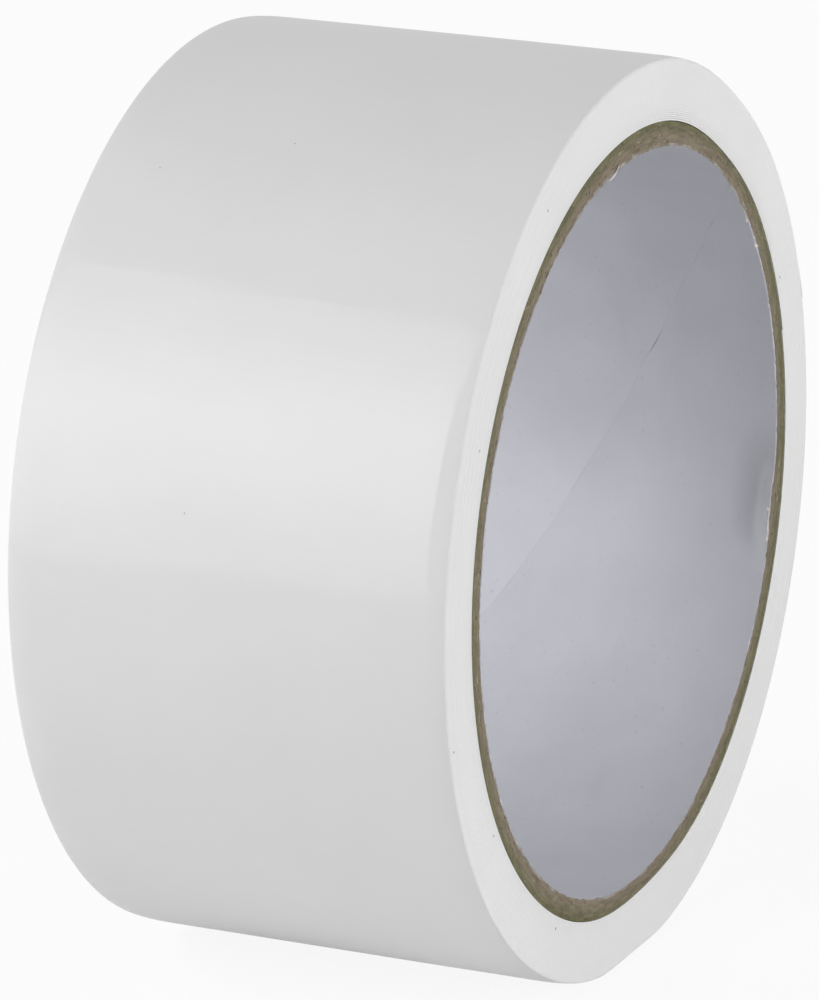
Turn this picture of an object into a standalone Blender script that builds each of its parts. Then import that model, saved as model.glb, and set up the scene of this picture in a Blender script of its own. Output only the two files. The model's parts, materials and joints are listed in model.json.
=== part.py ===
"""A roll of cloth tape standing on its tread: one strip wound on a spiral-wound board core.

Lengths are in metres. Angles are in degrees, clockwise from the top as seen from the front face at +X.
"""

import math

import bmesh
import bpy
from mathutils import Vector

# The core: a paper liner inside plies of board, each wound in a helix over the one inside it
BORE_DIAMETER = 0.0784
LINER_THICKNESS = 0.0003
PLY_COUNT = 5
PLY_THICKNESS = 0.00037
GLUE_LINE = 0.00005
CORE_RECESS = 0.0001
SEAM_LEAD = 0.130
SEAM_GAP = 0.0004
LINER_SEAM_ANGLE = 39.0
SEAM_STAGGER = 63.0

# The tape: one strip, whose last turn ends in a lead end that peels off
TAPE_WIDTH = 0.048
TAPE_THICKNESS = 0.00019
TAPE_TURNS = 35
FREE_END_ANGLE = 75.0
LEAD_END_LENGTH = 0.030
PEEL_LINE_GAP = 0.0003
LAP_GAP = 0.0005

# The roll has settled on its tread by this much
FLAT_DEPTH = 0.0005

# Facets round the core and round the winding, the edges that stay sharp, and how near a cut joins a corner
CORE_FACETS = 72
TAPE_FACETS = 108
SHARP_ANGLE = 30.0
CUT_TOLERANCE = 1e-8

# Stretches of the strip further apart than this are measured against each other
MEASURED_APART = 36.0

# Colours are linear
FILM_WHITE = (0.80, 0.80, 0.79)
FILM_ROUGHNESS = 0.32
BOARD_BROWN = (0.22, 0.19, 0.14)
BOARD_ROUGHNESS = 0.9
LINER_WHITE = (0.62, 0.63, 0.66)
LINER_ROUGHNESS = 0.7

# Sizes that follow from the driving ones
CORE_LENGTH = TAPE_WIDTH - 2 * CORE_RECESS
BORE_RADIUS = BORE_DIAMETER / 2
CORE_RADIUS = BORE_RADIUS + LINER_THICKNESS + PLY_COUNT * (GLUE_LINE + PLY_THICKNESS)
WINDING_RADIUS = CORE_RADIUS + GLUE_LINE
OUTER_RADIUS = WINDING_RADIUS + TAPE_TURNS * TAPE_THICKNESS
LAST_ANGLE = FREE_END_ANGLE + 360
PEEL_ANGLE = LAST_ANGLE - math.degrees(LEAD_END_LENGTH / OUTER_RADIUS)
BOTTOM_ANGLE = 180.0


def clock_point(radius, angle, along=0.0):
    """A point of the roll's own frame, whose Z axis is the roll's axis and whose Y axis points up."""
    turn = math.radians(angle)
    return Vector((radius * math.sin(turn), radius * math.cos(turn), along))


def facet_point(radius, angle, along):
    """A point on the flat facets of the core's tubes, which share their corners' angles."""
    step = 360 / CORE_FACETS
    corner = math.floor(angle / step)
    first = clock_point(radius, corner * step, along)
    second = clock_point(radius, (corner + 1) * step, along)
    return first.lerp(second, angle / step - corner)


def arc_angle(length):
    """The angle that a length takes on the roll's outer face."""
    return math.degrees(length / OUTER_RADIUS)


def spiral_radius(angle):
    """Outer radius of the last turn, which gains one thickness from the free end's angle round to it again."""
    return OUTER_RADIUS - TAPE_THICKNESS * (1 - (angle - FREE_END_ANGLE) / 360)


AXIS_HEIGHT = spiral_radius(BOTTOM_ANGLE) - FLAT_DEPTH
FLAT_HALF_ANGLE = math.degrees(math.acos(AXIS_HEIGHT / spiral_radius(BOTTOM_ANGLE)))


def wound_point(angle, depth=0.0):
    """A point of the winding at a depth under its outer face, drawn in to the flat that the roll stands on."""
    radius = spiral_radius(angle) - depth
    downward = math.cos(math.radians(angle - BOTTOM_ANGLE))
    if downward > 0:
        radius = min(radius, (AXIS_HEIGHT - depth) / downward)
    return clock_point(radius, angle)


def winding_angles(first, last):
    """The corners of the winding between two angles: its facets, and both ends of the flat."""
    step = 360 / TAPE_FACETS
    corners = [step * count for count in range(math.ceil(first / step), math.floor(last / step) + 1)]
    flat_ends = [BOTTOM_ANGLE - FLAT_HALF_ANGLE, BOTTOM_ANGLE + FLAT_HALF_ANGLE]
    return sorted({first, last, *corners, *(angle for angle in flat_ends if first < angle < last)})


def finish(obj, colour, roughness):
    """Gives an object a matt or glossy material of its own."""
    material = bpy.data.materials.new(obj.name)
    material.use_nodes = True
    shader = material.node_tree.nodes["Principled BSDF"]
    shader.inputs["Base Color"].default_value = (*colour, 1.0)
    shader.inputs["Roughness"].default_value = roughness
    shader.inputs["Metallic"].default_value = 0.0
    obj.data.materials.append(material)


def place(obj, collection, axis):
    """Puts a piece in the roll's collection, in the frame of the roll's axis."""
    collection.objects.link(obj)
    obj.parent = axis


def wound_ply(name, inner_radius, thickness, seam_angle):
    """A ply of the core: a flat strip trimmed on the bias along its seam, wrapped into a tube and thickened."""
    circumference = 2 * math.pi * inner_radius
    facet = circumference / CORE_FACETS
    seam_start = inner_radius * math.radians(seam_angle)
    seam_run = circumference * CORE_LENGTH / SEAM_LEAD
    first = math.floor(seam_start / facet)
    columns = math.ceil((seam_start + seam_run + circumference) / facet) - first
    strip = bmesh.new()
    bmesh.ops.create_grid(strip, x_segments=columns, y_segments=1, size=0.5)
    bmesh.ops.scale(strip, vec=(columns * facet, CORE_LENGTH, 1), verts=strip.verts)
    bmesh.ops.translate(strip, vec=((first + columns / 2) * facet, 0, 0), verts=strip.verts)
    across = Vector((CORE_LENGTH, seam_run, 0)).normalized()
    seam = Vector((seam_start + seam_run / 2, 0, 0))
    trim_strip(strip, seam + across * SEAM_GAP / 2, -across)
    trim_strip(strip, seam + Vector((circumference, 0, 0)) - across * SEAM_GAP / 2, across)
    for vert in strip.verts:
        vert.co = facet_point(inner_radius, math.degrees(vert.co.x / inner_radius), vert.co.y)
    thickened = bmesh.ops.extrude_face_region(strip, geom=strip.faces[:])["geom"]
    outside = [part for part in thickened if isinstance(part, bmesh.types.BMVert)]
    growth = (inner_radius + thickness) / inner_radius
    bmesh.ops.scale(strip, vec=(growth, growth, 1), verts=outside)
    bmesh.ops.recalc_face_normals(strip, faces=strip.faces)
    mesh = bpy.data.meshes.new(name)
    strip.to_mesh(mesh)
    strip.free()
    mesh.shade_smooth()
    mesh.set_sharp_from_angle(angle=math.radians(SHARP_ANGLE))
    return bpy.data.objects.new(name, mesh)


def trim_strip(strip, point, outward):
    """Cuts a flat strip along the line through a point and drops what lies outward of it."""
    whole = strip.verts[:] + strip.edges[:] + strip.faces[:]
    bmesh.ops.bisect_plane(
        strip, geom=whole, dist=CUT_TOLERANCE, plane_co=point, plane_no=outward, clear_outer=True
    )


def new_curve(name, lines, closed):
    """A flat curve of straight-sided lines, extruded to the tape's width."""
    curve = bpy.data.curves.new(name, "CURVE")
    curve.dimensions = "2D"
    curve.fill_mode = "BOTH"
    curve.extrude = TAPE_WIDTH / 2
    for line in lines:
        spline = curve.splines.new("POLY")
        spline.points.add(len(line) - 1)
        for corner, point in zip(spline.points, line):
            corner.co = (*point, 1.0)
        spline.use_cyclic_u = closed
    return bpy.data.objects.new(name, curve)


def tape_inner_turns():
    """The turns under the last one, as one body whose outer face steps where the last turn leaves it."""
    depth = TAPE_THICKNESS + GLUE_LINE
    outline = [wound_point(angle, depth) for angle in winding_angles(FREE_END_ANGLE, LAST_ANGLE)]
    step = 360 / CORE_FACETS
    hole = [clock_point(WINDING_RADIUS, step * count) for count in range(CORE_FACETS)]
    return new_curve("tape_inner_turns", [outline, hole], closed=True)


def tape_strip(name, angles, origin):
    """A stretch of the last turn: its outer face as a ribbon, thickened inwards."""
    strip = new_curve(name, [[wound_point(angle) - origin for angle in angles]], closed=False)
    strip.location = origin
    thick = strip.modifiers.new("tape thickness", "SOLIDIFY")
    thick.thickness = TAPE_THICKNESS
    thick.offset = -1.0
    thick.use_even_offset = True
    return strip


def least_gap(angles):
    """How near the last turn comes to itself, on the corners of both its faces, past a tenth of a turn."""
    faces = [(angle, wound_point(angle, depth)) for angle in angles for depth in (0.0, TAPE_THICKNESS)]
    return min((a - b).length for turn, a in faces for other, b in faces if other - turn > MEASURED_APART)


def build_roll():
    for old in list(bpy.data.objects):
        bpy.data.objects.remove(old)
    collection = bpy.data.collections.new("gaffer_tape_roll")
    bpy.context.scene.collection.children.link(collection)
    axis = bpy.data.objects.new("roll_axis", None)
    axis.location = (0.0, 0.0, AXIS_HEIGHT)
    axis.rotation_euler = (math.radians(90), 0.0, math.radians(90))
    collection.objects.link(axis)

    liner = wound_ply("core_liner", BORE_RADIUS, LINER_THICKNESS, LINER_SEAM_ANGLE)
    place(liner, collection, axis)
    finish(liner, LINER_WHITE, LINER_ROUGHNESS)

    ply_pitch = PLY_THICKNESS + GLUE_LINE
    for number in range(1, PLY_COUNT + 1):
        inner_radius = BORE_RADIUS + LINER_THICKNESS + GLUE_LINE + ply_pitch * (number - 1)
        seam_angle = LINER_SEAM_ANGLE + SEAM_STAGGER * number
        ply = wound_ply(f"core_ply_{number}", inner_radius, PLY_THICKNESS, seam_angle)
        place(ply, collection, axis)
        finish(ply, BOARD_BROWN, BOARD_ROUGHNESS)

    turn_angles = winding_angles(
        FREE_END_ANGLE + arc_angle(GLUE_LINE), PEEL_ANGLE - arc_angle(PEEL_LINE_GAP / 2)
    )
    lead_angles = winding_angles(
        PEEL_ANGLE + arc_angle(PEEL_LINE_GAP / 2), LAST_ANGLE - arc_angle(LAP_GAP)
    )
    peel_line = wound_point(PEEL_ANGLE)
    for piece in (
        tape_inner_turns(),
        tape_strip("tape_outer_turn", turn_angles, Vector()),
        tape_strip("tape_lead_end", lead_angles, peel_line),
    ):
        place(piece, collection, axis)
        finish(piece, FILM_WHITE, FILM_ROUGHNESS)

    bpy.context.view_layer.update()
    print("peel line at", *(f"{1000 * value:.4f}" for value in axis.matrix_world @ peel_line), "mm")
    print(f"axis {1000 * AXIS_HEIGHT:.4f} mm up, outer radius {1000 * OUTER_RADIUS:.4f} mm")
    print(f"the strip's least gap to itself is {1000 * least_gap(turn_angles + lead_angles):.3f} mm")


build_roll()
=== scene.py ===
"""A roll of white tape on a board core, dressed around its packed solids and laid out as an add-on.

Lengths are in metres. Clock angles are in degrees, clockwise from the top as seen from the front face at +X.
"""

import json
import math
import random
from functools import partial

import bmesh
import bpy
from bpy.props import FloatProperty, FloatVectorProperty, IntProperty, PointerProperty
from mathutils import Matrix, Vector, noise


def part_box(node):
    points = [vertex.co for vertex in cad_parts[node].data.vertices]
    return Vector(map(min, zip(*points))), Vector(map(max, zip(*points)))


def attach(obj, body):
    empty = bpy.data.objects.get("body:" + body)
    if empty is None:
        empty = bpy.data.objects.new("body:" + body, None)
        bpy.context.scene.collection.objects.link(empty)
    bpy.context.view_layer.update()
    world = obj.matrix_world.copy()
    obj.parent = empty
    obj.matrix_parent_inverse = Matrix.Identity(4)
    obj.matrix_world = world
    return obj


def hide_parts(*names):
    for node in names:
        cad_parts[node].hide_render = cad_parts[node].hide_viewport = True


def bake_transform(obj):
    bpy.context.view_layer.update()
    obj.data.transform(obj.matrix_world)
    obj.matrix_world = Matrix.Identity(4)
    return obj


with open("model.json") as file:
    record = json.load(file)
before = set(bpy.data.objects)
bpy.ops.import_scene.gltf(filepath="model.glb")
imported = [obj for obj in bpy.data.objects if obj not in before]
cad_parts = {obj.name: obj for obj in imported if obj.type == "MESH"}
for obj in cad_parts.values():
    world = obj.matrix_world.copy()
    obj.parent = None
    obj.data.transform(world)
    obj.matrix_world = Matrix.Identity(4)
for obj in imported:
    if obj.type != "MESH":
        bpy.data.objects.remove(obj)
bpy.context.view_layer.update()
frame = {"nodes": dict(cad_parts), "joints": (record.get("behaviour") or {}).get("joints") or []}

bl_info = {
    "name": "Tape Roll",
    "version": (1, 0, 0),
    "blender": (4, 5, 0),
    "location": "3D View > Sidebar > Tape Roll",
    "description": "Builds a roll of tape on a board core, and the studio it stands in",
    "category": "Add Mesh",
}

# Places and radii that the packed solids give
LINER_LOW, LINER_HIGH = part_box("core_liner")
AXIS_HEIGHT = (LINER_LOW.z + LINER_HIGH.z) / 2
LINER_RADIUS = (LINER_HIGH.y - LINER_LOW.y) / 2
CORE_LENGTH = LINER_HIGH.x - LINER_LOW.x
TAPE_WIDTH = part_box("tape_inner_turns")[1].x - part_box("tape_inner_turns")[0].x
PLY_NODES = sorted(name for name in frame["nodes"] if name.startswith("core_ply"))
PLY_RADII = [(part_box(name)[1].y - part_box(name)[0].y) / 2 for name in PLY_NODES]
ROLL_RADIUS = (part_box("tape_outer_turn")[1].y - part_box("tape_outer_turn")[0].y) / 2
PEEL_POINT = Vector(frame["joints"][0]["pos_m"])
ROLL_CENTRE = Vector((0.0, 0.0, AXIS_HEIGHT))

FULL_TURN = 360.0
MILLIMETRE = 0.001
FLAT_MAP = "flat"
SHARP_ANGLE = math.radians(40)
CUT_TOLERANCE = 1e-8
SKIN_SHARE = 0.01
WHITE = (1.0, 1.0, 1.0, 1.0)


def dent(angle, middle, spread, depth):
    """How deep a smooth dent round one clock angle is at another, with its spread in degrees."""
    turn = (angle - middle + FULL_TURN / 2) % FULL_TURN - FULL_TURN / 2
    return depth * math.exp(-(turn / spread) ** 2)


# The core's front edge is pushed into the bore: by a blow at the right, and by the saw at the top
BLOW = partial(dent, middle=102.5, spread=5.5, depth=0.72 * MILLIMETRE)
BURR = partial(dent, middle=-2.0, spread=22.0, depth=0.28 * MILLIMETRE)
PUSH_LENGTH = 1.1 * MILLIMETRE

# The roll's front is a little out of round in two places: under it, and at its upper right
LOW_DIP = partial(dent, middle=175.0, spread=16.0, depth=0.8 * MILLIMETRE)
LOW_DIP_FADE = 0.65
HIGH_DIP = partial(dent, middle=33.0, spread=14.0, depth=0.5 * MILLIMETRE)
DIP_START = 4 * MILLIMETRE
DIP_LENGTH = 20 * MILLIMETRE

# The film face's own low relief: its depths, and its waves in a metre along the strip and across it
RIDGE_DEPTH = 0.004 * MILLIMETRE
RIDGE_WAVES = 210
FINE_RIDGE_WAVES = 520
FINE_RIDGE_SHARE = 0.6
RIPPLE_DEPTH = 0.012 * MILLIMETRE
RIPPLE_WAVES = (330, 90)
DIMPLE_DEPTH = 0.005 * MILLIMETRE
DIMPLE_WAVES = (85, 130)

# The kinds of setting that have a unit or a subtype
LengthProperty = partial(FloatProperty, unit="LENGTH", precision=6)
AngleProperty = partial(FloatProperty, subtype="ANGLE")
ColourProperty = partial(FloatVectorProperty, subtype="COLOR")


class TapeSettings(bpy.types.PropertyGroup):
    """The strip of tape"""

    width: LengthProperty(name="Width", description="Width of the strip", default=TAPE_WIDTH)
    pitch: LengthProperty(name="Pitch", description="How far each turn lies above the last", default=0.00019)
    thickness: LengthProperty(name="Thickness", description="Thickness of the strip", default=0.000184)
    turns: IntProperty(name="Turns", description="Turns of tape on the core", default=35, min=2)
    free_end: AngleProperty(name="Free end", description="Its clock angle", default=math.radians(75))
    end_lift: LengthProperty(name="End lift", description="How far the free end stands off", default=0.00025)
    edge_droop: LengthProperty(name="Edge droop", description="How far the edges sink", default=0.0002)
    film_colour: ColourProperty(name="Film", description="The film face", default=(0.74, 0.74, 0.74))
    edge_colour: ColourProperty(name="Cut edge", description="The slit edges", default=(0.772, 0.772, 0.772))
    adhesive_colour: ColourProperty(name="Adhesive", description="Sticky face", default=(0.78, 0.75, 0.66))


class CoreSettings(bpy.types.PropertyGroup):
    """The board core and the paper that lines it"""

    liner_thickness: LengthProperty(name="Liner", description="Thickness of the paper", default=0.0003)
    seam_angle: AngleProperty(
        name="Seam", description="Clock angle of the liner's seam at the front", default=math.radians(39)
    )
    seam_lead: LengthProperty(
        name="Seam lead", description="Length along the core in which a seam goes once round", default=0.130
    )
    seam_stagger: AngleProperty(
        name="Stagger", description="Turn from one ply's seam to the next", default=math.radians(63)
    )
    raggedness: LengthProperty(name="Raggedness", description="Depth of the saw marks", default=0.00014)
    board_colour: ColourProperty(name="Inner board", description="Inner plies", default=(0.218, 0.184, 0.136))
    outer_board_colour: ColourProperty(
        name="Outer board", description="Outer plies", default=(0.148, 0.146, 0.078)
    )
    liner_colour: ColourProperty(name="Paper", description="The liner", default=(0.536, 0.542, 0.585))


class StageSettings(bpy.types.PropertyGroup):
    """The camera, the floor and the lamps"""

    azimuth: AngleProperty(name="Azimuth", description="Turn of the camera", default=math.radians(24.62))
    elevation: AngleProperty(name="Elevation", description="Rise of the camera", default=math.radians(16.39))
    distance: LengthProperty(name="Distance", description="Camera to the middle of the roll", default=0.7174)
    lens: FloatProperty(name="Lens", description="Focal length in millimetres", default=247.05)
    floor_colour: ColourProperty(name="Floor", description="The floor", default=(0.92, 0.92, 0.92))
    floor_white: FloatProperty(
        name="Floor white", description="Share of plain white that is seen", default=0.9, subtype="FACTOR"
    )
    softbox_strength: FloatProperty(name="Softbox", description="Share of its usual light", default=0.835)
    high_strength: FloatProperty(name="High panel", description="Light from above, at the left", default=5.9)
    left_strength: FloatProperty(name="Left panel", description="Light from the low front left", default=4.2)
    right_strength: FloatProperty(name="Right panel", description="Light on the side face", default=9.4)
    back_strength: FloatProperty(name="Back panel", description="Light from behind", default=4.5)
    room_strength: FloatProperty(name="Room", description="Light of the room all round", default=0.17)


def soft_noise(x, y, z=0.0):
    """Smooth noise from about -1 to 1, always the same. A plain number only picks a part of it."""
    return noise.noise(Vector((x, y, z)))


def smooth_step(value):
    """0 below 0, 1 above 1, and a smooth rise between."""
    share = min(max(value, 0.0), 1.0)
    return share * share * (3 - 2 * share)


def dipped(radius, angle, across):
    """How far the roll's front is out of round: not at the bore, and less in the low dip near the floor."""
    share = smooth_step((radius - LINER_RADIUS) / (PLY_RADII[-1] - LINER_RADIUS))
    share *= smooth_step((across - DIP_START) / DIP_LENGTH)
    fade = 1 - LOW_DIP_FADE * smooth_step((radius - PLY_RADII[-1]) / (ROLL_RADIUS - PLY_RADII[-1]))
    return share * (LOW_DIP(angle) * fade + HIGH_DIP(angle))


def clock_point(radius, angle, across):
    """A point at a radius and clock angle of the roll, and a distance along its axis."""
    turn = math.radians(angle)
    radius -= dipped(radius, angle, across)
    return Vector((across, radius * math.sin(turn), AXIS_HEIGHT + radius * math.cos(turn)))


def lay_strip(columns, rows, start, length, width):
    """A flat grid: X runs along the strip, and Y across it, with the rows crowded to its edges."""
    strip = bmesh.new()
    bmesh.ops.create_grid(strip, x_segments=columns, y_segments=rows, size=0.5)
    bmesh.ops.scale(strip, vec=(length, width, 1), verts=strip.verts)
    bmesh.ops.translate(strip, vec=(start + length / 2, 0, 0), verts=strip.verts)
    half = width / 2
    for vert in strip.verts:
        vert.co.y = half * math.sin(math.pi / 2 * vert.co.y / half)
    return strip


def cut_strip(strip, point, outward, drop):
    """Cuts a flat strip along the line through a point, and can drop what lies outward of it."""
    whole = strip.verts[:] + strip.edges[:] + strip.faces[:]
    bmesh.ops.bisect_plane(
        strip, geom=whole, dist=CUT_TOLERANCE, plane_co=point, plane_no=outward, clear_outer=drop
    )


def thicken(strip, thickness, steps=1):
    """Extrudes a flat strip downwards into a closed slab, and marks its faces."""
    faces = strip.faces[:]
    for _ in range(steps):
        grown = bmesh.ops.extrude_face_region(strip, geom=faces)["geom"]
        verts = [part for part in grown if isinstance(part, bmesh.types.BMVert)]
        faces = [part for part in grown if isinstance(part, bmesh.types.BMFace)]
        bmesh.ops.translate(strip, vec=(0, 0, -thickness / steps), verts=verts)
    bmesh.ops.recalc_face_normals(strip, faces=strip.faces)
    mark_faces(strip, thickness)


def mark_faces(strip, thickness):
    """Keeps the flat places as a UV map in metres, and gives top, edge and underside their own materials."""
    flat = strip.loops.layers.uv.new(FLAT_MAP)
    skin = thickness * SKIN_SHARE
    for face in strip.faces:
        heights = [vert.co.z for vert in face.verts]
        if min(heights) > -skin:
            face.material_index = 0
        elif max(heights) < skin - thickness:
            face.material_index = 2
        else:
            face.material_index = 1
        for loop in face.loops:
            place = loop.vert.co
            loop[flat].uv = (place.x, place.y - math.copysign(place.z, place.y))


def add_object(name, data):
    """A new object in the scene."""
    made = bpy.data.objects.new(name, data)
    bpy.context.scene.collection.objects.link(made)
    return made


def make_piece(name, mesh_maker, materials):
    """Turns a bmesh into a smooth-shaded object with these materials."""
    mesh = bpy.data.meshes.new(name)
    mesh_maker.to_mesh(mesh)
    mesh_maker.free()
    mesh.shade_smooth()
    mesh.set_sharp_from_angle(angle=SHARP_ANGLE)
    for material in materials:
        mesh.materials.append(material)
    return add_object(name, mesh)


class Winding:
    """Where the strip lies once it is wound on the core and the roll stands on its tread."""

    DROOP_WIDTH = 2.5 * MILLIMETRE
    DROOP_DEPTH = 3.0 * MILLIMETRE
    SHOULDER_DEPTH = 0.45 * MILLIMETRE
    SHOULDER_INSET = 0.26 * MILLIMETRE
    HIGHEST_RISE = 0.98
    ROUNDED_WIDTH = 0.14 * MILLIMETRE
    ROUNDED_DEPTH = 0.03 * MILLIMETRE
    EDGE_WANDER = 0.006 * MILLIMETRE
    WANDER_PER_TURN = 2.7
    EDGE_CLEARANCE = 0.02 * MILLIMETRE
    FLAT_ROUNDING = 0.3 * MILLIMETRE
    FLAT_REACH = 0.5
    LAP_SHARE = 0.05
    HUGGING_TURNS = 4.0

    def __init__(self, tape):
        self.tape = tape
        self.half = tape.width / 2
        self.last_angle = math.degrees(tape.free_end) + FULL_TURN
        height = PEEL_POINT.z - AXIS_HEIGHT
        self.peel_angle = math.degrees(math.atan2(PEEL_POINT.y, height)) + FULL_TURN
        peel_radius = math.hypot(PEEL_POINT.y, height)
        self.outer = peel_radius + tape.pitch * (self.last_angle - self.peel_angle) / FULL_TURN
        self.stack = tape.pitch * tape.turns

    def angle_of(self, length):
        """Clock angle of a length along the strip, on the outer radius."""
        return math.degrees(length / self.outer)

    def length_of(self, angle):
        """Length along the strip at a clock angle, on the outer radius."""
        return self.outer * math.radians(angle)

    def face_radius(self, angle):
        """Radius of the film face. It gains a pitch in each turn: evenly, or in a step next to the core."""
        turn = self.tape.turns - (self.last_angle - angle) / FULL_TURN
        part = turn % 1
        step = smooth_step(1 - (1 - part) / self.LAP_SHARE)
        hug = math.exp(-max(turn, 0.0) / self.HUGGING_TURNS) * (part - step)
        return self.outer - self.tape.pitch * (self.tape.turns - turn + hug)

    def push_in(self, angle):
        """How far the flat that the roll stands on pushes its outer face in."""
        downward = -math.cos(math.radians(angle))
        if downward < self.FLAT_REACH:
            return 0.0
        top = self.last_angle - (self.last_angle - angle) % FULL_TURN
        over = self.face_radius(top) - AXIS_HEIGHT / downward
        return (over + math.hypot(over, self.FLAT_ROUNDING)) / 2

    def droop(self, across):
        """How far the strip sinks towards its edges on the roll's outermost turn."""
        over = abs(across) - (self.half - self.DROOP_WIDTH)
        return self.tape.edge_droop * max(0.0, over / self.DROOP_WIDTH) ** 2

    def inset(self, below, angle):
        """How far an edge stands in from the roll's side: the round shoulder and each turn's wander."""
        rise = min(max(0.0, 1 - below / self.SHOULDER_DEPTH), self.HIGHEST_RISE)
        shoulder = self.SHOULDER_INSET * (1 - math.sqrt(1 - rise ** 2))
        turn = math.radians(angle)
        turns_left = (self.last_angle - angle) / FULL_TURN
        wander = soft_noise(turns_left * self.WANDER_PER_TURN, math.sin(turn), math.cos(turn))
        return self.EDGE_CLEARANCE + shoulder + self.EDGE_WANDER * (1 + wander)

    def place(self, length, across, depth, rounded=0.0):
        """The wound place of a point of the flat strip, at a depth under its film face."""
        angle = self.angle_of(length)
        radius = self.face_radius(angle) - depth
        below = self.outer - radius
        near_edge = max(0.0, 1 - (self.half - abs(across)) / self.ROUNDED_WIDTH)
        radius -= self.droop(across) * math.exp(-below / self.DROOP_DEPTH)
        radius -= rounded * self.ROUNDED_DEPTH * near_edge ** 2
        radius -= self.push_in(angle) * max(0.0, 1 - below / self.stack)
        inset = math.copysign(self.inset(below, angle) * near_edge, across)
        return clock_point(radius, angle, across - inset)


def film_relief(length, across):
    """Depth of the film face's low relief: ridges round the roll, ripples across it and dimples."""
    ridges = soft_noise(across * RIDGE_WAVES, 3.1)
    ridges += FINE_RIDGE_SHARE * soft_noise(across * FINE_RIDGE_WAVES, 7.7)
    ripples = soft_noise(length * RIPPLE_WAVES[0], across * RIPPLE_WAVES[1], 5.9)
    dimples = soft_noise(length * DIMPLE_WAVES[0], across * DIMPLE_WAVES[1], 2.3)
    relief = RIDGE_DEPTH * (1 + FINE_RIDGE_SHARE + ridges)
    return relief + RIPPLE_DEPTH * (1 + ripples) + DIMPLE_DEPTH * (1 + dimples)


def shade(colour, factor):
    """A colour made lighter or darker."""
    return tuple(min(1.0, part * factor) for part in colour)


class Nodes:
    """A node tree, and the few kinds of node that the looks are made of."""

    def __init__(self, tree):
        self.tree = tree

    def set(self, socket, value):
        """Links a socket to another one, or gives it a value."""
        if isinstance(value, bpy.types.NodeSocket):
            self.tree.links.new(value, socket)
        else:
            socket.default_value = value

    def add(self, kind, inputs=None, **settings):
        """A new node with these inputs and settings."""
        made = self.tree.nodes.new(kind)
        for key, value in settings.items():
            setattr(made, key, value)
        for key, value in (inputs or {}).items():
            self.set(made.inputs[key], value)
        return made

    def maths(self, operation, *values, **settings):
        """One operation on one or two numbers."""
        made = self.add("ShaderNodeMath", dict(enumerate(values)), operation=operation, **settings)
        return made.outputs["Value"]

    def vector_maths(self, operation, *values, result="Vector"):
        """One operation on one or two vectors or colours."""
        return self.add("ShaderNodeVectorMath", dict(enumerate(values)), operation=operation).outputs[result]

    def part(self, vector, axis):
        """One part of a vector."""
        return self.add("ShaderNodeSeparateXYZ", {0: vector}).outputs[axis]

    def flat(self, stretch=(1.0, 1.0, 1.0)):
        """The piece's own flat map in metres, stretched where a pattern runs one way."""
        source = self.add("ShaderNodeUVMap", uv_map=FLAT_MAP).outputs["UV"]
        return self.add("ShaderNodeMapping", {"Vector": source, "Scale": stretch}).outputs["Vector"]

    def place(self):
        """The piece's own place in metres."""
        return self.add("ShaderNodeTexCoord").outputs["Object"]

    def spoke(self):
        """How far a place is above the roll's axis, and how far from it."""
        offset = self.vector_maths("SUBTRACT", self.place(), ROLL_CENTRE)
        spoke = self.vector_maths("MULTIPLY", offset, (0.0, 1.0, 1.0))
        return self.part(spoke, "Z"), self.vector_maths("LENGTH", spoke, result="Value")

    def noise(self, where, scale, detail=2.0):
        """A noise texture's value from 0 to 1."""
        inputs = {"Vector": where, "Scale": scale, "Detail": detail}
        return self.add("ShaderNodeTexNoise", inputs).outputs["Fac"]

    def remap(self, value, low, high, to_low=0.0, to_high=1.0):
        """A value moved from one range to another, and held inside it."""
        inputs = {"Value": value, "From Min": low, "From Max": high, "To Min": to_low, "To Max": to_high}
        return self.add("ShaderNodeMapRange", inputs).outputs["Result"]

    def clouds(self, where, scale, detail=2.0, low=0.3, high=0.7, to_low=0.0, to_high=1.0):
        """Noise of which only the range from low to high counts."""
        return self.remap(self.noise(where, scale, detail), low, high, to_low, to_high)

    def threads(self, where, scale, distortion, detail, detail_scale=1.0):
        """The two sets of crossing threads in a cloth, each a wave from 0 to 1."""
        inputs = {"Vector": where, "Scale": scale, "Distortion": distortion, "Detail": detail}
        inputs["Detail Scale"] = detail_scale
        for way in ("X", "Y"):
            yield self.add("ShaderNodeTexWave", inputs, wave_type="BANDS", bands_direction=way).outputs["Fac"]

    def mix(self, share, first, second):
        """A colour between two colours, by a share."""
        made = self.add("ShaderNodeMix", data_type="RGBA")
        sockets = {socket.identifier: socket for socket in (*made.inputs, *made.outputs)}
        for key, value in (("Factor_Float", share), ("A_Color", first), ("B_Color", second)):
            whole = isinstance(value, (float, bpy.types.NodeSocket))
            self.set(sockets[key], value if whole else (*value, 1.0))
        return sockets["Result_Color"]

    def shades(self, share, colour, dark, light):
        """A colour between two shades of itself, by a share."""
        return self.mix(share, shade(colour, dark), shade(colour, light))


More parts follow.
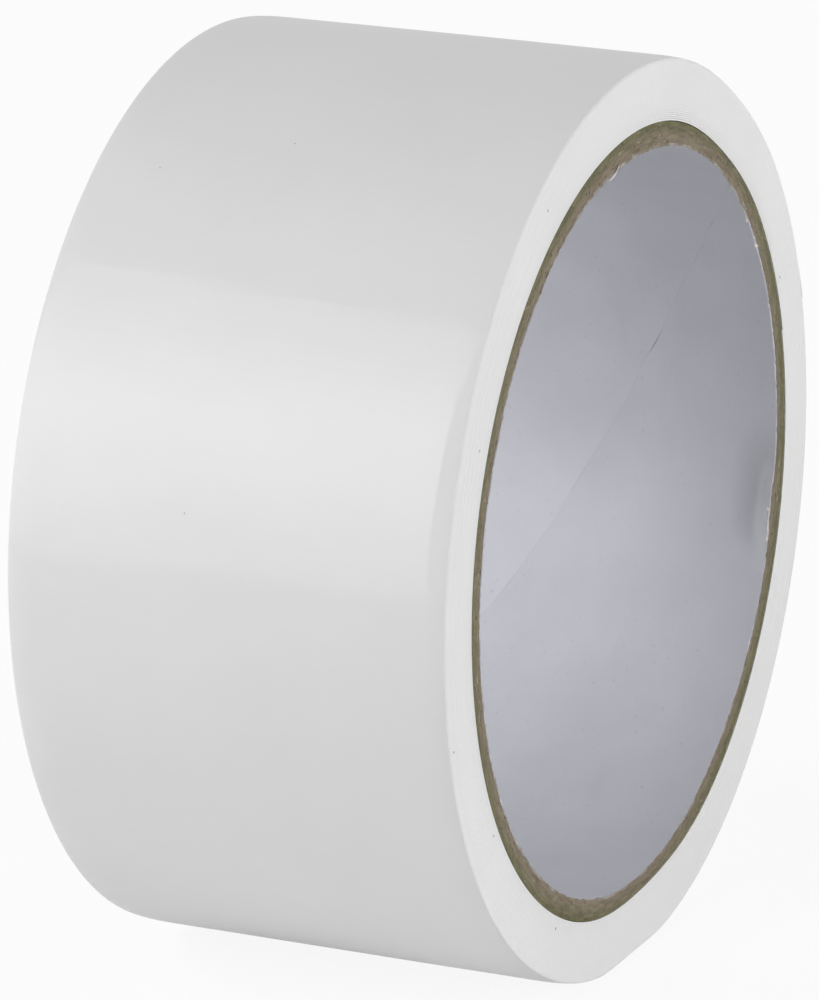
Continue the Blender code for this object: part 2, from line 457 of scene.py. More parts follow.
class Finish(Nodes):
    """A new material and its shader."""

    def __init__(self, name):
        self.material = bpy.data.materials.new(name)
        self.material.use_nodes = True
        super().__init__(self.material.node_tree)
        self.shader = self.tree.nodes["Principled BSDF"]
        self.relief = None

    def look(self, **inputs):
        """Sets or links the shader's inputs, by their names in small letters."""
        sockets = {socket.name.lower().replace(" ", "_"): socket for socket in self.shader.inputs}
        for name, value in inputs.items():
            self.set(sockets[name], value)

    def bump(self, height, depth):
        """Adds a relief of this depth in millimetres, on top of any earlier one."""
        inputs = {"Height": height, "Distance": depth * MILLIMETRE, "Strength": 1.0}
        if self.relief is not None:
            inputs["Normal"] = self.relief
        self.relief = self.add("ShaderNodeBump", inputs).outputs["Normal"]
        self.look(normal=self.relief)

    def grain(self, where, scale, depth, detail=2.0):
        """Adds a relief of noise."""
        self.bump(self.noise(where, scale, detail), depth)


def white_film(film, tape):
    """Glossy white film with a faint orange peel and the weave of the cloth under it."""
    flat = film.flat()
    cloud = film.clouds(flat, scale=70.0, detail=3.0)
    white = film.shades(cloud, tape.film_colour, dark=0.985, light=1.01)
    gloss_and_painted_shade = film.clouds(flat, scale=45.0, detail=4.0, to_low=0.035, to_high=0.06)
    film.look(base_color=white, roughness=gloss_and_painted_shade, specular_ior_level=0.0)
    film.grain(film.flat(stretch=(1.0, 0.55, 1.0)), scale=700.0, depth=0.009)
    threads = film.threads(flat, scale=270.0, distortion=1.2, detail=1.0, detail_scale=0.3)
    film.bump(film.maths("MULTIPLY", *threads), depth=0.006)
    film.look(coat_weight=0.28, coat_ior=2.6, coat_roughness=gloss_and_painted_shade, coat_normal=film.relief)


def slit_edge(edge, tape):
    """The slit edges of the strip: satin white, a little uneven from turn to turn."""
    place = edge.place()
    cloud = edge.clouds(place, scale=120.0, detail=4.0)
    white = edge.shades(cloud, tape.edge_colour, dark=0.975, light=1.0)
    edge.look(base_color=white, roughness=0.5, specular_ior_level=0.4)
    edge.grain(place, scale=2600.0, depth=0.012)


def sticky_face(sticky, tape):
    """The sticky face: cream adhesive over a scrim of crossing threads."""
    flat = sticky.flat()
    scrim = sticky.maths("MAXIMUM", *sticky.threads(flat, scale=170.0, distortion=0.8, detail=2.0))
    cloud = sticky.noise(flat, scale=160.0, detail=4.0)
    cream = sticky.shades(cloud, tape.adhesive_colour, dark=0.94, light=1.05)
    showing = sticky.remap(scrim, low=0.6, high=1.0, to_high=0.35)
    thread_colour = (0.86, 0.84, 0.79)
    sticky.look(base_color=sticky.mix(showing, cream, thread_colour), roughness=0.38)
    sticky.bump(scrim, depth=0.03)
    sticky.grain(flat, scale=1500.0, detail=3.0, depth=0.012)


def brown_board(board, core):
    """Grey-brown board: mottled fibres with light and dark flecks, and greener towards the outside."""
    place = board.place()
    radius = board.spoke()[1]
    along = board.part(board.flat(stretch=(0.3, 1.0, 1.0)), "X")
    round_core = {"X": along, "Y": radius, "Z": board.part(place, "X")}
    grain = board.add("ShaderNodeCombineXYZ", round_core).outputs["Vector"]
    green = board.remap(radius, low=PLY_RADII[0], high=PLY_RADII[-1])
    plain = board.mix(green, core.board_colour, core.outer_board_colour)
    mottle = board.clouds(grain, scale=1700.0, detail=4.0, to_low=0.76, to_high=1.24)
    colour = board.vector_maths("MULTIPLY", plain, mottle)
    dark = board.clouds(place, scale=2100.0, low=0.61, high=0.70, to_high=0.75)
    colour = board.mix(dark, colour, shade(core.board_colour, 0.32))
    pale = board.clouds(grain, scale=2300.0, low=0.68, high=0.76, to_high=0.7)
    pale_fibre = (0.52, 0.47, 0.37)
    board.look(base_color=board.mix(pale, colour, pale_fibre), roughness=0.95, specular_ior_level=0.15)
    board.grain(place, scale=1600.0, detail=5.0, depth=0.12)
    board.grain(place, scale=5200.0, depth=0.03)


def bore_paper(paper, core):
    """Blue-grey liner paper: faint clouds, specks, rubbed patches, a patch of painted shade beside the
    hollow, and a fine grain.
    """
    flat = paper.flat()
    cloud = paper.clouds(flat, scale=95.0, detail=4.0)
    colour = paper.shades(cloud, core.liner_colour, dark=0.95, light=1.03)
    speck = paper.clouds(flat, scale=1500.0, low=0.66, high=0.74, to_high=0.3)
    colour = paper.mix(speck, colour, shade(core.liner_colour, 0.6))
    streaks = paper.flat(stretch=(0.5, 1.6, 1.0))
    rub = paper.clouds(streaks, scale=160.0, detail=3.0, low=0.6, high=0.8, to_high=0.22)
    colour = paper.mix(rub, colour, shade(core.liner_colour, 0.8))
    # Painted shade: the paper is darkened round a point beside the hollow where the blow pushes the core's
    # edge in
    painted_shade_middle = clock_point(LINER_RADIUS, angle=100.0, across=0.0232)
    painted_shade_shape = (1.2, 1.0, 0.6)
    offset = paper.vector_maths("SUBTRACT", paper.place(), painted_shade_middle)
    spread = paper.vector_maths("MULTIPLY", offset, painted_shade_shape)
    away = paper.vector_maths("LENGTH", spread, result="Value")
    gloss_and_painted_shade = paper.remap(away, low=0.3 * MILLIMETRE, high=5.5 * MILLIMETRE, to_low=0.45, to_high=0.0)
    colour = paper.mix(gloss_and_painted_shade, colour, shade(core.liner_colour, 0.38))
    paper.look(base_color=colour, roughness=0.42, specular_ior_level=0.8)
    paper.grain(flat, scale=420.0, detail=4.0, depth=0.03)
    paper.grain(flat, scale=4200.0, depth=0.008)


def torn_paper(torn, core):
    """The liner's cut ends: pale paper at the sides, and brown with board dust at the top and bottom."""
    place = torn.place()
    fibres = torn.clouds(place, scale=1400.0, detail=3.0, low=0.35, high=0.65)
    pale = torn.shades(fibres, core.liner_colour, dark=0.72, light=1.0)
    brown = torn.shades(fibres, core.board_colour, dark=0.85, light=1.25)
    height = torn.maths("ABSOLUTE", torn.spoke()[0])
    steep = torn.remap(height, LINER_RADIUS * 0.5, LINER_RADIUS * 0.85, to_low=0.1, to_high=0.9)
    patches = torn.clouds(place, scale=300.0, to_low=-0.45, to_high=0.45)
    dusty = torn.maths("ADD", steep, patches, use_clamp=True)
    torn.look(base_color=torn.mix(dusty, pale, brown), roughness=0.9, specular_ior_level=0.2)
    torn.grain(place, scale=3000.0, detail=3.0, depth=0.03)


def flake_paper(flake, _):
    """Clean torn paper from under the liner's face: off-white, with a little fibre."""
    place = flake.place()
    fibres = flake.clouds(place, scale=1600.0, detail=3.0, low=0.35, high=0.65)
    grey = (0.50, 0.46, 0.44)
    off_white = (0.74, 0.71, 0.70)
    flake.look(base_color=flake.mix(fibres, grey, off_white), roughness=0.85)
    flake.grain(place, scale=3000.0, detail=3.0, depth=0.02)


def dust(speck, core):
    """Grey-brown board dust."""
    grain = speck.noise(speck.place(), scale=9000.0)
    speck.look(base_color=speck.shades(grain, core.board_colour, dark=0.7, light=1.5), roughness=0.95)


def painted(paint, settings):
    """The material that a function paints, made once under the function's name."""
    found = bpy.data.materials.get(paint.__name__)
    if found:
        return found
    finish = Finish(paint.__name__)
    paint(finish, settings)
    return finish.material


def tape_materials(tape):
    """Film, cut edge and adhesive, in the order that mark_faces uses."""
    return [painted(paint, tape) for paint in (white_film, slit_edge, sticky_face)]


class WoundTurns(bpy.types.Operator):
    """Winds the turns that lie under the last one, as one strip"""

    bl_idname = "tape_roll.wound_turns"
    bl_label = "Wound turns"
    FACETS = 180
    TUCKED_ANGLE = 3.0

    def execute(self, context):
        tape = context.scene.tape_settings
        winding = Winding(tape)
        first = winding.last_angle - FULL_TURN * (tape.turns - 1)
        last = winding.last_angle - FULL_TURN - self.TUCKED_ANGLE
        start = winding.length_of(first)
        length = winding.length_of(last) - start
        columns = round((last - first) / FULL_TURN * self.FACETS)
        strip = lay_strip(columns, 1, start, length, tape.width)
        for side in (-1, 1):
            for inner in (winding.DROOP_WIDTH, winding.ROUNDED_WIDTH):
                cut_strip(strip, (0, side * (winding.half - inner), 0), (0, side, 0), drop=False)
        thicken(strip, tape.thickness)
        for vert in strip.verts:
            vert.co = winding.place(vert.co.x, vert.co.y, -vert.co.z)
        piece = make_piece("wound_turns", strip, tape_materials(tape))
        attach(piece, "roll")
        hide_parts("tape_inner_turns")
        return {"FINISHED"}


def wind_outside(winding, columns, rows, start, end, lift_at=None):
    """A length of the strip on the roll's outside, with the film's relief and any lift."""
    tape = winding.tape
    strip = lay_strip(columns, rows, start, end - start, tape.width)
    thicken(strip, tape.thickness)
    for vert in strip.verts:
        outside = 1.0 if vert.co.z == 0 else 0.0
        lift = lift_at(vert.co.x) if lift_at else 0.0
        depth = outside * film_relief(vert.co.x, vert.co.y) - vert.co.z - lift
        vert.co = winding.place(vert.co.x, vert.co.y, depth, outside)
    return strip


class LastTurn(bpy.types.Operator):
    """Winds the last turn of the strip, up to the line that the lead end peels from"""

    bl_idname = "tape_roll.last_turn"
    bl_label = "Last turn"
    COLUMNS = 600
    ROWS = 40

    def execute(self, context):
        tape = context.scene.tape_settings
        winding = Winding(tape)
        start = winding.length_of(winding.last_angle - FULL_TURN - WoundTurns.TUCKED_ANGLE)
        end = winding.length_of(winding.peel_angle)
        strip = wind_outside(winding, self.COLUMNS, self.ROWS, start, end)
        piece = make_piece("last_turn", strip, tape_materials(tape))
        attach(piece, "roll")
        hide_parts("tape_outer_turn")
        return {"FINISHED"}


class LeadEnd(bpy.types.Operator):
    """Lays the strip's free end, which bends away from the roll when it is peeled"""

    bl_idname = "tape_roll.lead_end"
    bl_label = "Lead end"
    COLUMNS = 84
    ROWS = 40
    LAP_GAP = 0.5 * MILLIMETRE
    BEND_BEFORE = 10 * MILLIMETRE
    BEND_AFTER = 8 * MILLIMETRE
    LIFT_LENGTH = 9 * MILLIMETRE

    def execute(self, context):
        tape = context.scene.tape_settings
        winding = Winding(tape)
        end = winding.length_of(winding.last_angle) - self.LAP_GAP

        def lift_at(length):
            return tape.end_lift * smooth_step(1 - (end - length) / self.LIFT_LENGTH) ** 2

        peel_line = winding.length_of(winding.peel_angle)
        strip = wind_outside(winding, self.COLUMNS, self.ROWS, peel_line, end, lift_at)
        piece = make_piece("lead_end", strip, tape_materials(tape))
        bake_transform(piece)
        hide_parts("tape_lead_end")
        return {"FINISHED"}


def pushed_in(radius, angle, across):
    """How far the core's front edge is pushed into the bore: most at the bore, none outside."""
    from_front = (CORE_LENGTH / 2 - across) / PUSH_LENGTH
    inside = (PLY_RADII[-1] - radius) / (PLY_RADII[-1] - LINER_RADIUS)
    depth = BLOW(angle) + BURR(angle)
    return depth * max(0.0, inside) * math.exp(-from_front * from_front)


def near_end(across, band):
    """1 at the core's two ends, falling to 0 over a band along it."""
    return max(0.0, 1 - (CORE_LENGTH / 2 - abs(across)) / band)


class HelixPly:
    """A strip of board or paper, trimmed on the bias and wrapped once round, edge to edge."""

    def __init__(self, core, inner, seam_angle):
        self.inner = inner
        self.circumference = 2 * math.pi * inner
        self.seam_start = inner * math.radians(seam_angle)
        self.seam_run = self.circumference * CORE_LENGTH / core.seam_lead
        self.across = Vector((CORE_LENGTH, self.seam_run, 0)).normalized()
        self.seam = Vector((self.seam_start + self.seam_run / 2, 0, 0))

    def lay(self, columns, rows, gap, thickness, steps=1):
        """The flat strip between the two sides of its seam, with its thickness."""
        length = self.seam_run + self.circumference
        strip = lay_strip(columns, rows, self.seam_start, length, CORE_LENGTH)
        far_side = self.seam + Vector((self.circumference, 0, 0))
        cut_strip(strip, self.seam + self.across * gap / 2, -self.across, drop=True)
        cut_strip(strip, far_side - self.across * gap / 2, self.across, drop=True)
        thicken(strip, thickness, steps)
        return strip

    def from_seam(self, place):
        """How far a flat point lies from its own side of the seam, and which way that side faces."""
        near = (place - self.seam).dot(self.across)
        far = self.circumference * self.across.x - near
        return (near, 1.0) if near < far else (far, -1.0)

    def angle_of(self, length):
        """Clock angle of a length along the flat strip."""
        return math.degrees(length / self.inner)


class BoardPlies(bpy.types.Operator):
    """Wraps the plies of board, with rough saw-cut ends"""

    bl_idname = "tape_roll.board_plies"
    bl_label = "Board plies"
    COLUMNS = 900
    ROWS = 8
    STEPS = 4
    GLUE_LINE = 0.01 * MILLIMETRE
    SEAM_GAP = 0.05 * MILLIMETRE
    END_BAND = 0.6 * MILLIMETRE
    COARSE_WAVES = 700
    FINE_WAVES = 2300
    FINE_SHARE = 0.4

    def saw_cut(self, core, radius, angle, side):
        """How far the rough end stands in from the clean cut."""
        place = clock_point(radius, angle, side * CORE_LENGTH / 2)
        coarse = soft_noise(place.y * self.COARSE_WAVES, place.z * self.COARSE_WAVES, side * 4.0)
        fine = soft_noise(place.y * self.FINE_WAVES, place.z * self.FINE_WAVES, side * 9.0)
        return core.raggedness * (0.5 + 0.5 * coarse + self.FINE_SHARE * fine)

    def wrap(self, core, ply, outer, strip):
        """Wraps the flat strip, whose top is the ply's outer face."""
        for vert in strip.verts:
            angle = ply.angle_of(vert.co.x)
            radius = outer + vert.co.z
            side = math.copysign(1.0, vert.co.y)
            rough = near_end(vert.co.y, self.END_BAND) * self.saw_cut(core, radius, angle, side)
            across = vert.co.y - side * rough
            vert.co = clock_point(radius - pushed_in(radius, angle, across), angle, across)

    def execute(self, context):
        core = context.scene.core_settings
        board = painted(brown_board, core)
        inner = LINER_RADIUS + self.GLUE_LINE
        for number, (name, radius) in enumerate(zip(PLY_NODES, PLY_RADII), 1):
            thickness = radius - inner
            seam_angle = math.degrees(core.seam_angle + core.seam_stagger * number)
            ply = HelixPly(core, inner, seam_angle)
            strip = ply.lay(self.COLUMNS, self.ROWS, self.SEAM_GAP, thickness, self.STEPS)
            self.wrap(core, ply, radius, strip)
            piece = make_piece(f"board_ply_{number}", strip, [board, board, board])
            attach(piece, "roll")
            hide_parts(name)
            inner = radius + self.GLUE_LINE
        return {"FINISHED"}


class BoreLiner(bpy.types.Operator):
    """Wraps the paper that lines the bore, with its slanted seam, ragged ends and one hollow"""

    bl_idname = "tape_roll.bore_liner"
    bl_label = "Bore liner"
    COLUMNS = 760
    ROWS = 52
    SEAM_GAP = 0.006 * MILLIMETRE
    SEAM_WANDER = 0.7 * MILLIMETRE
    SEAM_WAVES = 420
    OPENING_LENGTH = 0.55 * MILLIMETRE
    OPENINGS = (0.0192, 0.0166, 0.0138, 0.0100, 0.0008, -0.0054)
    OPENING_GAPES = (0.035, 0.02, 0.02, 0.13, 0.03, 0.02)
    LIP = 0.025 * MILLIMETRE
    LIP_WIDTH = 0.9 * MILLIMETRE
    WAVES = 0.035 * MILLIMETRE
    WAVES_ROUND = 3.4
    WAVES_ALONG = 60
    END_BAND = 0.8 * MILLIMETRE
    END_WAVES = 0.12 * MILLIMETRE
    COARSE_TEARS = 0.55
    FINE_TEARS = 1.7
    TEARS_ALONG = 900
    FINE_SHARE = 0.7
    FRAY = 0.12 * MILLIMETRE
    COARSE_FRAY = 1.9
    FINE_FRAY = 7.0
    FRAY_INWARD = 4000
    HOLLOW = partial(dent, middle=103.0, spread=6.0, depth=0.13 * MILLIMETRE)
    HOLLOW_ACROSS = 0.0226
    HOLLOW_LENGTH = 1.3 * MILLIMETRE

    def relief(self, place, angle):
        """How far the paper stands in from the bore: low waves, ragged ends and the hollow."""
        turn = math.radians(angle)
        waves = soft_noise(
            math.sin(turn) * self.WAVES_ROUND, math.cos(turn) * self.WAVES_ROUND, place.y * self.WAVES_ALONG
        )
        along = (place.y - self.HOLLOW_ACROSS) / self.HOLLOW_LENGTH
        hollow = self.HOLLOW(angle) * math.exp(-along ** 2)
        from_end = (CORE_LENGTH / 2 - abs(place.y)) / self.END_BAND
        ragged = soft_noise(angle * self.COARSE_TEARS, math.copysign(3.0, place.y))
        ragged += self.FINE_SHARE * soft_noise(angle * self.FINE_TEARS, place.y * self.TEARS_ALONG)
        end_waves = self.END_WAVES * ragged * math.exp(-from_end ** 2)
        return self.WAVES * waves - hollow + end_waves

    def open_seam(self, across):
        """How far each side of the seam stands back at a place along the roll."""
        gape = 0.0
        for spot, width in zip(self.OPENINGS, self.OPENING_GAPES):
            gape += width * MILLIMETRE * math.exp(-((across - spot) / self.OPENING_LENGTH) ** 2)
        return gape / 2

    def execute(self, context):
        core = context.scene.core_settings
        inner = LINER_RADIUS - core.liner_thickness
        ply = HelixPly(core, inner, math.degrees(core.seam_angle))
        strip = ply.lay(self.COLUMNS, self.ROWS, self.SEAM_GAP, core.liner_thickness)
        for vert in strip.verts:
            place = vert.co.copy()
            far, facing = ply.from_seam(place)
            near_seam = max(0.0, 1 - far / self.LIP_WIDTH)
            place.x += facing * self.open_seam(place.y) * near_seam ** 4
            place.x += self.SEAM_WANDER * soft_noise(place.y * self.SEAM_WAVES, 8.3) * near_seam ** 2
            angle = ply.angle_of(place.x)
            radius = inner - place.z
            radius -= pushed_in(radius, angle, place.y)
            if vert.co.z == 0:
                radius -= self.relief(place, angle) + self.LIP * near_seam ** 2
            side = math.copysign(1.0, place.y)
            coarse = soft_noise(angle * self.COARSE_FRAY, radius * self.FRAY_INWARD, side)
            fray = self.FRAY * (0.5 + 0.5 * coarse + 0.5 * soft_noise(angle * self.FINE_FRAY, side))
            vert.co = clock_point(radius, angle, place.y - side * near_end(place.y, self.END_BAND) * fray)
        paper = painted(bore_paper, core)
        torn = painted(torn_paper, core)
        piece = make_piece("bore_liner", strip, [paper, torn, torn])
        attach(piece, "roll")
        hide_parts("core_liner")
        return {"FINISHED"}


class TornEdges(bpy.types.Operator):
    """Adds the loose fibres and torn flakes of paper along the core's cut ends"""

    bl_idname = "tape_roll.torn_edges"
    bl_label = "Torn edges"
    SEED = 7
    FIBRES = 240
    FIBRE_LENGTH = 0.22 * MILLIMETRE
    FIBRE_WIDTH = 0.08 * MILLIMETRE
    FIBRE_ROOT = 0.1 * MILLIMETRE
    FIBRE_SIDES = 4
    FIBRE_TIP = 0.3
    FIBRE_LEAN = 0.7
    TUFT_FIBRES = 90
    TUFT_ANGLES = (-22.0, 2.0)
    TUFT_LENGTH = 0.5 * MILLIMETRE
    TUFT_WIDTH = 0.17 * MILLIMETRE
    FLAKE_ANGLES = (-9.0, 49.7, 56.1, 103.0, 106.4)
    FLAKE_LENGTHS = (2.2, 0.5, 0.9, 0.5, 3.6)
    FLAKE_INSETS = (0.33, 0.40, 0.20, 0.46, 0.32)
    FLAKE_LEANS = (0.42, 0.0, 0.2, 0.6, 0.0)
    FLAKE_GRID = (12, 5)
    FLAKE_WIDTH = 0.36 * MILLIMETRE
    FLAKE_TAPER = 2.6
    FLAKE_TEARS = 0.3
    FLAKE_THICKNESS = 0.05 * MILLIMETRE
    FLAKE_CURL = 0.2 * MILLIMETRE
    FLAKE_TILT = 0.2

    def add_fibre(self, maker, chance, angle, side, length, width):
        """One loose fibre, rooted in the board's inner corner and leaning into the bore."""
        thick = width * chance.uniform(0.5, 1.5)
        root = clock_point(LINER_RADIUS + self.FIBRE_ROOT, angle, side * (CORE_LENGTH / 2 - thick))
        back = side * chance.uniform(-0.5, 0.0)
        aside = chance.uniform(-self.FIBRE_LEAN, self.FIBRE_LEAN)
        lean = Vector((back, aside, chance.uniform(-self.FIBRE_LEAN, self.FIBRE_LEAN)))
        inward = (ROLL_CENTRE - root) * Vector((0, 1, 1))
        toward = (inward.normalized() + lean).normalized()
        turn = toward.to_track_quat("Z", "Y").to_matrix().to_4x4()
        bmesh.ops.create_cone(
            maker, cap_ends=True, segments=self.FIBRE_SIDES, radius1=thick, radius2=thick * self.FIBRE_TIP,
            depth=length, matrix=Matrix.Translation(root + toward * length / 2) @ turn
        )

    def fibres(self):
        """Loose fibres all round both ends, and the thick tuft that the photograph shows."""
        chance = random.Random(self.SEED)
        maker = bmesh.new()
        for number in range(self.FIBRES):
            side = 1 if number % 2 else -1
            length = self.FIBRE_LENGTH * chance.uniform(0.6, 1.6)
            self.add_fibre(maker, chance, chance.uniform(0.0, FULL_TURN), side, length, self.FIBRE_WIDTH)
        for _ in range(self.TUFT_FIBRES):
            length = self.TUFT_LENGTH * chance.uniform(0.6, 1.5)
            self.add_fibre(maker, chance, chance.uniform(*self.TUFT_ANGLES), 1, length, self.TUFT_WIDTH)
        return maker

    def flakes(self):
        """Curled flakes of torn liner paper at the front end."""
        maker = bmesh.new()
        front = CORE_LENGTH / 2
        flakes = zip(self.FLAKE_ANGLES, self.FLAKE_LENGTHS, self.FLAKE_INSETS, self.FLAKE_LEANS)
        for number, (angle, length, inset, lean) in enumerate(flakes):
            columns, rows = self.FLAKE_GRID
            made = bmesh.ops.create_grid(maker, x_segments=columns, y_segments=rows, size=0.5)["verts"]
            for vert in made:
                along, over = vert.co.x, vert.co.y
                narrow = 1 - self.FLAKE_TAPER * along * along
                torn = self.FLAKE_TEARS * soft_noise(along * 5 + number * 7, over * 2)
                curl = self.FLAKE_CURL * (4 * along * along + soft_noise(along * 3, over * 2, number) * 0.5)
                inward = self.FLAKE_WIDTH * (over + torn) * narrow - lean * length * along * MILLIMETRE
                here = angle + math.degrees(along * length * MILLIMETRE / LINER_RADIUS)
                edge = LINER_RADIUS - inset * MILLIMETRE - pushed_in(LINER_RADIUS, here, front)
                vert.co = clock_point(edge - inward, here, front - self.FLAKE_TILT * inward - abs(curl))
            faces = {face for vert in made for face in vert.link_faces}
            bmesh.ops.solidify(maker, geom=list(faces), thickness=self.FLAKE_THICKNESS)
        bmesh.ops.recalc_face_normals(maker, faces=maker.faces)
        return maker

    def execute(self, context):
        core = context.scene.core_settings
        board = painted(brown_board, core)
        fibres = make_piece("board_fibres", self.fibres(), [board])
        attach(fibres, "roll")
        paper = painted(flake_paper, core)
        flakes = make_piece("torn_flakes", self.flakes(), [paper])
        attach(flakes, "roll")
        return {"FINISHED"}


class DustSpecks(bpy.types.Operator):
    """Scatters a few specks of board dust on the side face and the tread"""

    bl_idname = "tape_roll.dust_specks"
    bl_label = "Dust specks"
    # A radius or a place across the tread, in millimetres, and a clock angle
    SIDE_PLACES = (
        (45.06, -31.4), (43.72, -65.6), (47.13, -103.5), (42.66, -122.2), (42.90, -151.6), (42.76, 66.7)
    )
    TREAD_PLACES = ((-4.57, -77.8), (-3.84, -28.5), (-16.72, -34.8))
    SIDE_SIZE = 0.10 * MILLIMETRE
    TREAD_SIZE = 0.055 * MILLIMETRE
    HEIGHT = 0.012 * MILLIMETRE
    LONGER = 1.5
    UNEVEN = 0.5

    def add_speck(self, maker, place, outward, number, size):
        """One flat, uneven speck lying on a face."""
        turn = outward.to_track_quat("Z", "Y").to_matrix().to_4x4()
        for vert in bmesh.ops.create_icosphere(maker, subdivisions=2, radius=1.0)["verts"]:
            wide = size * (1 + self.UNEVEN * soft_noise(vert.co.x * 1.5, vert.co.y * 1.5, number * 3.7))
            shape = Vector((vert.co.x * wide, vert.co.y * wide * self.LONGER, vert.co.z * self.HEIGHT))
            vert.co = place + turn @ shape

    def execute(self, context):
        winding = Winding(context.scene.tape_settings)
        maker = bmesh.new()
        for number, (radius, angle) in enumerate(self.SIDE_PLACES):
            place = clock_point(radius * MILLIMETRE, angle, winding.half - winding.EDGE_CLEARANCE)
            self.add_speck(maker, place, Vector((1, 0, 0)), number, self.SIDE_SIZE)
        for number, (across, angle) in enumerate(self.TREAD_PLACES, len(self.SIDE_PLACES)):
            turn = angle % FULL_TURN
            if turn < winding.last_angle - FULL_TURN:
                turn += FULL_TURN
            place = clock_point(winding.face_radius(turn), angle, across * MILLIMETRE)
            outward = clock_point(1.0, angle, 0.0) - ROLL_CENTRE
            self.add_speck(maker, place, outward, number, self.TREAD_SIZE)
        piece = make_piece("dust_specks", maker, [painted(dust, context.scene.core_settings)])
        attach(piece, "roll")
        return {"FINISHED"}


class Stage(bpy.types.Operator):
    """Sets up the floor, the lamps, the room and the camera"""

    bl_idname = "tape_roll.stage"
    bl_label = "Stage"
    FLOOR_SIZE = 12.0
    SOFTBOX_AZIMUTH = -30.0
    SOFTBOX_DISTANCE = 0.40
    SOFTBOX_SIZE = (0.285, 0.60)
    SOFTBOX_SHIFT = -0.0375
    SOFTBOX_FOOT = 0.005
    HOT_SPOT = (0.015, 0.25)
    HOT_SPOT_WIDTH = 0.15
    HOT_SPOT_GLOW = 1.75
    SOFTBOX_GLOW = 0.40
    DIM_FOOT = 0.2
    FOOT_SHARE = 0.65
    # Which way each fill stands from the middle of the roll
    FILLS = {
        "high": (-0.70, -0.34, 0.70),
        "left": (-0.60, -0.79, 0.16),
        "right": (1.0, 0.05, 0.26),
        "back": (0.0, 1.0, 0.40),
    }
    PANEL_DISTANCE = 1.8
    PANEL_SIZE = (0.8, 0.8)
    SENSOR_WIDTH = 36.0
    CAMERA_SHIFT = (-0.0016277, -0.0004637)

    def add_floor(self, stage):
        """A wide pale floor that the camera sees as white, with the roll's shadow on it."""
        sheet = bmesh.new()
        bmesh.ops.create_grid(sheet, x_segments=1, y_segments=1, size=self.FLOOR_SIZE / 2)
        floor = Finish("floor_white")
        floor.look(base_color=(*stage.floor_colour, 1.0), roughness=1.0, specular_ior_level=0.0)
        share = floor.maths("MULTIPLY", self.seen_by_camera(floor), stage.floor_white)
        glow = floor.add("ShaderNodeEmission", {"Color": WHITE, "Strength": 1.0}).outputs["Emission"]
        mix = floor.add("ShaderNodeMixShader", {0: share, 1: floor.shader.outputs["BSDF"], 2: glow})
        floor.set(floor.tree.nodes["Material Output"].inputs["Surface"], mix.outputs["Shader"])
        make_piece("floor", sheet, [floor.material])

    def seen_by_camera(self, nodes):
        """1 for what the camera sees, also in a mirror or through glass, and 0 for light on a surface."""
        rays = nodes.add("ShaderNodeLightPath").outputs
        seen = rays["Is Camera Ray"]
        for name in ("Is Glossy Ray", "Is Transmission Ray"):
            seen = nodes.maths("MAXIMUM", seen, rays[name])
        return seen

    def add_room(self, stage):
        """Even light from all round, in front of a white background."""
        world = bpy.data.worlds.new("room")
        world.use_nodes = True
        bpy.context.scene.world = world
        room = Nodes(world.node_tree)
        background = room.tree.nodes["Background"].inputs
        room.set(background["Color"], WHITE)
        seen = self.seen_by_camera(room)
        room.set(background["Strength"], room.remap(seen, 0.0, 1.0, to_low=stage.room_strength))

    def add_panel(self, name, place, target, size, radiance):
        """A rectangular lamp that faces a target. Its power gives this radiance."""
        lamp = bpy.data.lights.new(name, "AREA")
        lamp.shape = "RECTANGLE"
        lamp.size, lamp.size_y = size
        lamp.energy = radiance * size[0] * size[1] * math.pi
        panel = add_object(name, lamp)
        panel.location = place
        panel.rotation_euler = (place - target).to_track_quat("Z", "Y").to_euler()
        panel.visible_camera = False
        return panel

    def add_softbox(self, stage):
        """An upright softbox on the floor, brightest round one spot, as its reflection in the film shows."""
        turn = math.radians(self.SOFTBOX_AZIMUTH)
        width, height = self.SOFTBOX_SIZE
        sideways = Vector((math.cos(turn), math.sin(turn), 0)) * self.SOFTBOX_SHIFT
        target = Vector((0, 0, self.SOFTBOX_FOOT + height / 2)) + sideways
        place = target + Vector((math.sin(turn), -math.cos(turn), 0)) * self.SOFTBOX_DISTANCE
        lamp = self.add_panel("softbox", place, target, self.SOFTBOX_SIZE, stage.softbox_strength).data
        lamp.use_nodes = True
        box = Nodes(lamp.node_tree)
        across = box.add("ShaderNodeNewGeometry").outputs["Parametric"]
        spot_across = 0.5 + (self.HOT_SPOT[0] - self.SOFTBOX_SHIFT) / width
        spot_up = (self.HOT_SPOT[1] - self.SOFTBOX_FOOT) / height
        from_spot = box.vector_maths("SUBTRACT", across, (spot_across, spot_up, 0))
        spot_widths = (width / self.HOT_SPOT_WIDTH, height / self.HOT_SPOT_WIDTH, 0)
        scaled = box.vector_maths("MULTIPLY", from_spot, spot_widths)
        square = box.vector_maths("DOT_PRODUCT", scaled, scaled, result="Value")
        hot = box.maths("DIVIDE", self.HOT_SPOT_GLOW, box.maths("ADD", square, 1.0))
        glow = box.maths("ADD", hot, self.SOFTBOX_GLOW)
        dim = box.remap(box.part(across, "Y"), 0.0, self.DIM_FOOT, to_low=self.FOOT_SHARE)
        box.set(box.tree.nodes["Emission"].inputs["Strength"], box.maths("MULTIPLY", glow, dim))

    def add_fills(self, stage):
        """Square panels that light the roll but aren't seen in its film."""
        for side, toward in self.FILLS.items():
            place = ROLL_CENTRE + Vector(toward).normalized() * self.PANEL_DISTANCE
            strength = getattr(stage, f"{side}_strength")
            panel = self.add_panel(f"{side}_panel", place, ROLL_CENTRE, self.PANEL_SIZE, strength)
            panel.visible_glossy = False

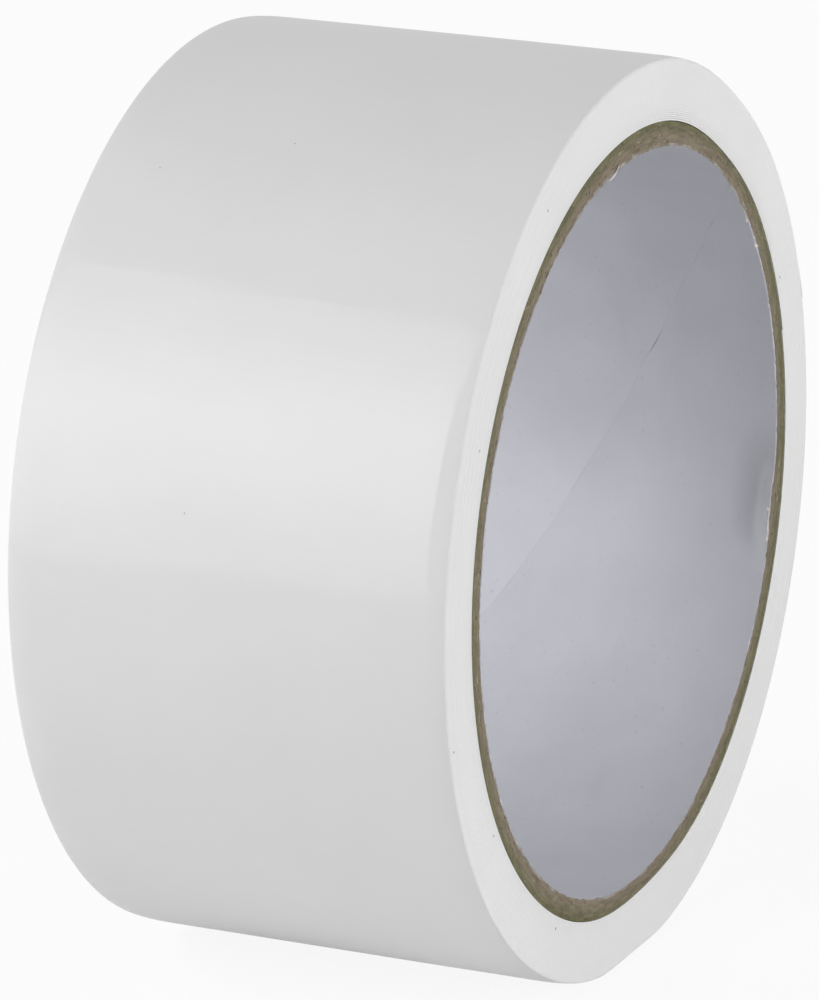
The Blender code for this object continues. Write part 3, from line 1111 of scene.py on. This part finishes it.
    def add_camera(self, stage):
        """The camera, at the photograph's angle and distance."""
        data = bpy.data.cameras.new("camera")
        data.sensor_width = self.SENSOR_WIDTH
        data.lens = stage.lens
        camera = add_object("camera", data)
        turn = Matrix.Rotation(stage.azimuth, 4, "Z") @ Matrix.Rotation(math.pi / 2 - stage.elevation, 4, "X")
        right, up, back = (turn.to_3x3().col[axis] for axis in range(3))
        aim = right * self.CAMERA_SHIFT[0] + up * self.CAMERA_SHIFT[1]
        camera.matrix_world = Matrix.Translation(ROLL_CENTRE + aim + back * stage.distance) @ turn
        bpy.context.scene.camera = camera

    def execute(self, context):
        stage = context.scene.stage_settings
        self.add_floor(stage)
        self.add_room(stage)
        self.add_softbox(stage)
        self.add_fills(stage)
        self.add_camera(stage)
        context.scene.view_settings.view_transform = "Standard"
        return {"FINISHED"}


PIECE_OPERATORS = (WoundTurns, LastTurn, LeadEnd, BoardPlies, BoreLiner, TornEdges, DustSpecks)
SETTINGS = {"tape_settings": TapeSettings, "core_settings": CoreSettings, "stage_settings": StageSettings}


class TapeRollPanel(bpy.types.Panel):
    """Lists the roll's settings and the operators that build it"""

    bl_idname = "VIEW3D_PT_tape_roll"
    bl_label = "Tape Roll"
    bl_space_type = "VIEW_3D"
    bl_region_type = "UI"
    bl_category = "Tape Roll"

    def draw(self, context):
        for name, group in SETTINGS.items():
            box = self.layout.box()
            box.label(text=group.__doc__)
            for key in group.__annotations__:
                box.prop(getattr(context.scene, name), key)
        for operator in (*PIECE_OPERATORS, Stage):
            self.layout.operator(operator.bl_idname)


CLASSES = (*SETTINGS.values(), *PIECE_OPERATORS, Stage, TapeRollPanel)


def register():
    for made in CLASSES:
        bpy.utils.register_class(made)
    for name, group in SETTINGS.items():
        setattr(bpy.types.Scene, name, PointerProperty(type=group))


def unregister():
    for name in SETTINGS:
        delattr(bpy.types.Scene, name)
    for made in reversed(CLASSES):
        bpy.utils.unregister_class(made)


def main():
    register()
    bpy.ops.tape_roll.wound_turns()
    bpy.ops.tape_roll.last_turn()
    bpy.ops.tape_roll.lead_end()
    bpy.ops.tape_roll.board_plies()
    bpy.ops.tape_roll.bore_liner()
    bpy.ops.tape_roll.torn_edges()
    bpy.ops.tape_roll.dust_specks()
    bpy.ops.tape_roll.stage()


if __name__ == "__main__":
    main()
